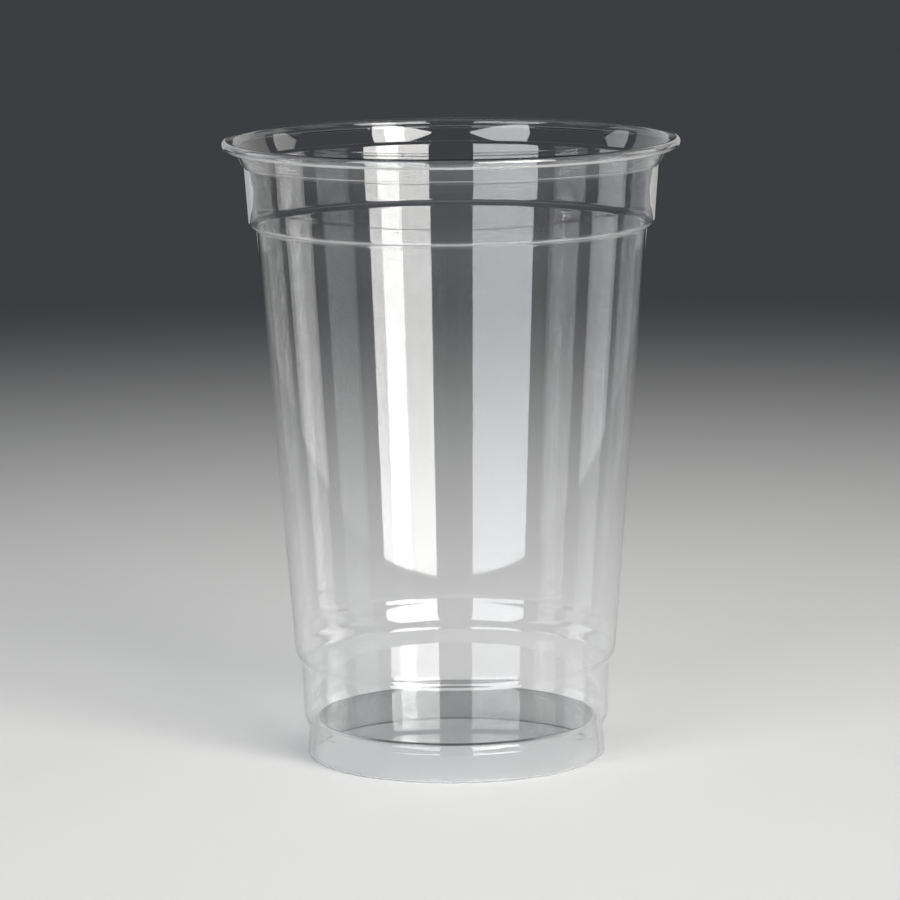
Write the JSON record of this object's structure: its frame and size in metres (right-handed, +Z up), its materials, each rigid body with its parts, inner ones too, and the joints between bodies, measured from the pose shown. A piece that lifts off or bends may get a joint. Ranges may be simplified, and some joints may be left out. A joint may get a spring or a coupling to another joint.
{
  "type": "plastic disposable cup",
  "caption": "Clear thin-walled cold-drink cup in one piece, with a rolled lip, a wide band under it, a stacking ledge and a raised base.",
  "frame": {"origin": "middle of the foot, on the plane that the cup stands on", "axes": "+Z up along the cup's own axis, towards the open lip; X and Y are alike, because the cup is round"},
  "size_m": [0.098, 0.098, 0.134],
  "materials": {
    "clear_plastic": "polished"
  },
  "bodies": {
    "root": {"cup": "clear_plastic"}
  },
  "joints": []
}
